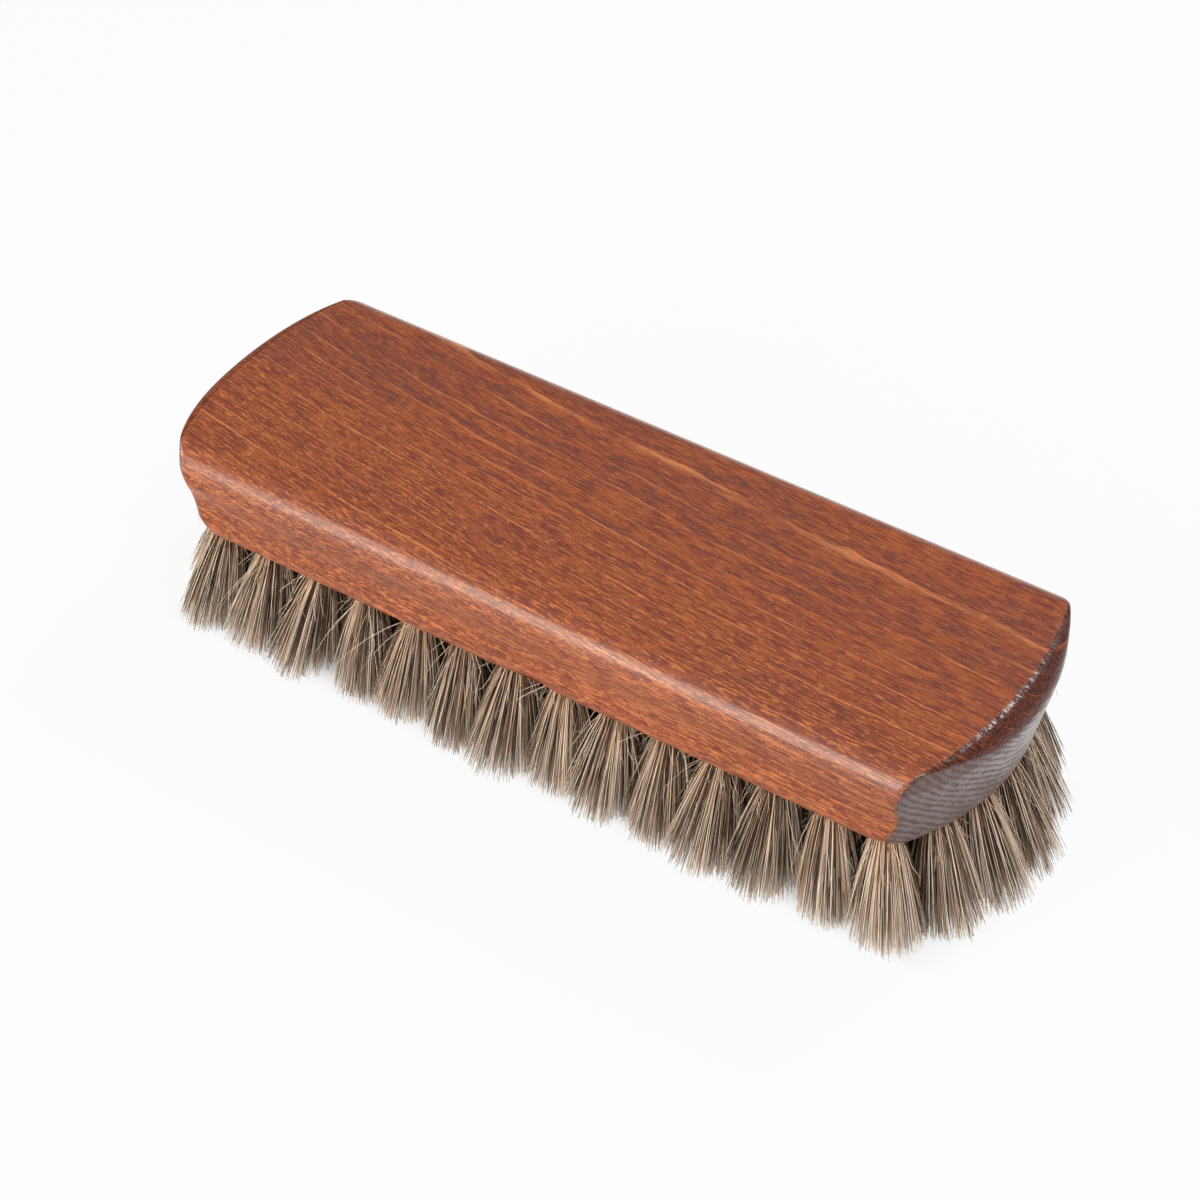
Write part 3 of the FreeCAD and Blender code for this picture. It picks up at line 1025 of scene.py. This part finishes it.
tuftTree = makeTuftTree()
for number, (name, (kind, seats, nodes)) in enumerate(tuftGroups().items(), 1):
    groupValues = {"Seed": number * seedStep, "Hair Material": horsehairMaterial}
    bristles = growTufts(tuftTree, name, seats, {**tuftHair, **tuftKinds[kind], **groupValues})
    mapHairs(bristles.data)
    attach(bristles, "root")
    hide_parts(*nodes)
    print(name, "has", len(bristles.data.polygons), "faces")


# flat wire anchors, bright drawn steel

wireSteel = {
    "scratchStretch": (900.0, 9000.0, 9000.0),
    "scratchRange": (0.3, 0.7),
    "dull": (0.42, 0.41, 0.39, 1.0),
    "bright": (0.62, 0.61, 0.59, 1.0),
    "roughness": (0.28, 0.45),
}


def makeWireSteel(settings):
    material, tree, surface = newMaterial("drawnWire")
    spot = place(tree, "ShaderNodeTexCoord").outputs["Object"]
    scratches = noise(tree, spot, settings["scratchStretch"], 3.0)
    color = mixedColor(tree, scratches, settings["dull"], settings["bright"])
    give(tree, surface.inputs["Base Color"], color)
    rough = ramped(tree, scratches, *settings["scratchRange"], *settings["roughness"])
    give(tree, surface.inputs["Roughness"], rough)
    surface.inputs["Metallic"].default_value = 1.0
    return material


wireMaterial = makeWireSteel(wireSteel)
for name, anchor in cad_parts.items():
    if name.startswith("wire_anchors"):
        anchor.data.materials.clear()
        anchor.data.materials.append(wireMaterial)
print("wire anchors finished")


# pale floor, soft studio light

white, warm = (1.0, 1.0, 1.0), (1.0, 0.94, 0.84)
studio = {
    "floorSize": 4.0,
    "floorWhite": (0.80, 0.80, 0.80, 1.0),
    "floorRoughness": 0.9,
    "floorLift": 0.91,
    "shadeStart": 0.6,                         # share of the footprint where the lift to white starts
    "horizon": 1.0,
    "overhead": 0.28,
    "horizonRise": 0.35,
    "fillShare": 0.46,                         # the surround's brightness as light on matt surfaces
    "lampAim": (0.0, 0.0, 30 * mm),
    "lamps": {                                 # place, size, power, tint and whether gloss shows the lamp
        "keyLight": ((0.42, -0.32, 1.06), (0.60, 0.60), 6.5, white, True),
        "frontLight": ((-0.36, -1.07, 0.40), (0.70, 0.74), 8.7, warm, True),
        "sideLight": ((-1.08, -0.58, 0.36), (0.60, 0.50), 5.2, white, True),
        "rightLight": ((1.00, -0.15, 0.40), (0.80, 0.60), 1.2, white, False),
        "backLight": ((0.20, 0.67, 0.84), (0.20, 0.14), 2.2, white, True),
        "farLight": ((0.10, 1.00, 0.42), (0.80, 0.60), 3.2, white, False),
    },
}


def seenDirectly(tree):
    path = place(tree, "ShaderNodeLightPath").outputs
    seen = calc(tree, "MAXIMUM", path["Is Camera Ray"], path["Is Glossy Ray"])
    return calc(tree, "MAXIMUM", seen, path["Is Transmission Ray"])


def makeFloor(settings):
    half = settings["floorSize"] / 2
    mesh = bpy.data.meshes.new("floor")
    corners = [(-half, -half, 0), (half, -half, 0), (half, half, 0), (-half, half, 0)]
    mesh.from_pydata(corners, [], [(0, 1, 2, 3)])
    floor = bpy.data.objects.new("floor", mesh)
    bpy.context.scene.collection.objects.link(floor)
    material, tree, surface = newMaterial("paleFloor")
    surface.inputs["Base Color"].default_value = settings["floorWhite"]
    surface.inputs["Roughness"].default_value = settings["floorRoughness"]
    glow = place(tree, "ShaderNodeEmission", {"Strength": 1.0})
    x, y, _ = separated(tree, place(tree, "ShaderNodeTexCoord").outputs["Object"])
    outside = 0.0
    for across, reach in ((x, cadHigh.x), (y, cadHigh.y)):
        far = ramped(tree, calc(tree, "ABSOLUTE", across), settings["shadeStart"] * reach, reach)
        outside = calc(tree, "MAXIMUM", far, outside)
    lift = calc(tree, "MULTIPLY", seenDirectly(tree), settings["floorLift"])
    lift = calc(tree, "MULTIPLY", lift, outside)
    mixed = place(tree, "ShaderNodeMixShader", {0: lift, 1: surface.outputs[0], 2: glow.outputs[0]})
    give(tree, tree.nodes["Material Output"].inputs["Surface"], mixed.outputs[0])
    mesh.materials.append(material)


def makeWorld(settings):
    world = bpy.data.worlds.new("studio")
    world.use_nodes = True
    tree = world.node_tree
    upward = separated(tree, place(tree, "ShaderNodeTexCoord").outputs["Generated"])[2]
    level = ramped(tree, upward, 0.0, settings["horizonRise"], settings["horizon"], settings["overhead"])
    share = ramped(tree, seenDirectly(tree), 0.0, 1.0, settings["fillShare"], 1.0)
    give(tree, tree.nodes["Background"].inputs["Strength"], calc(tree, "MULTIPLY", level, share))
    tree.nodes["Background"].inputs["Color"].default_value = (1.0, 1.0, 1.0, 1.0)
    bpy.context.scene.world = world


def makeLamps(settings):
    for name, (spot, size, power, tint, inGloss) in settings["lamps"].items():
        data = bpy.data.lights.new(name, "AREA")
        data.shape = "RECTANGLE"
        data.size, data.size_y = size
        data.energy = power
        data.color = tint
        lamp = bpy.data.objects.new(name, data)
        lamp.location = spot
        lamp.visible_glossy = inGloss
        towards = Vector(settings["lampAim"]) - lamp.location
        lamp.rotation_euler = towards.to_track_quat("-Z", "Y").to_euler()
        bpy.context.scene.collection.objects.link(lamp)


makeFloor(studio)
makeWorld(studio)
makeLamps(studio)
bpy.context.scene.view_settings.view_transform = "Standard"
print("studio set")
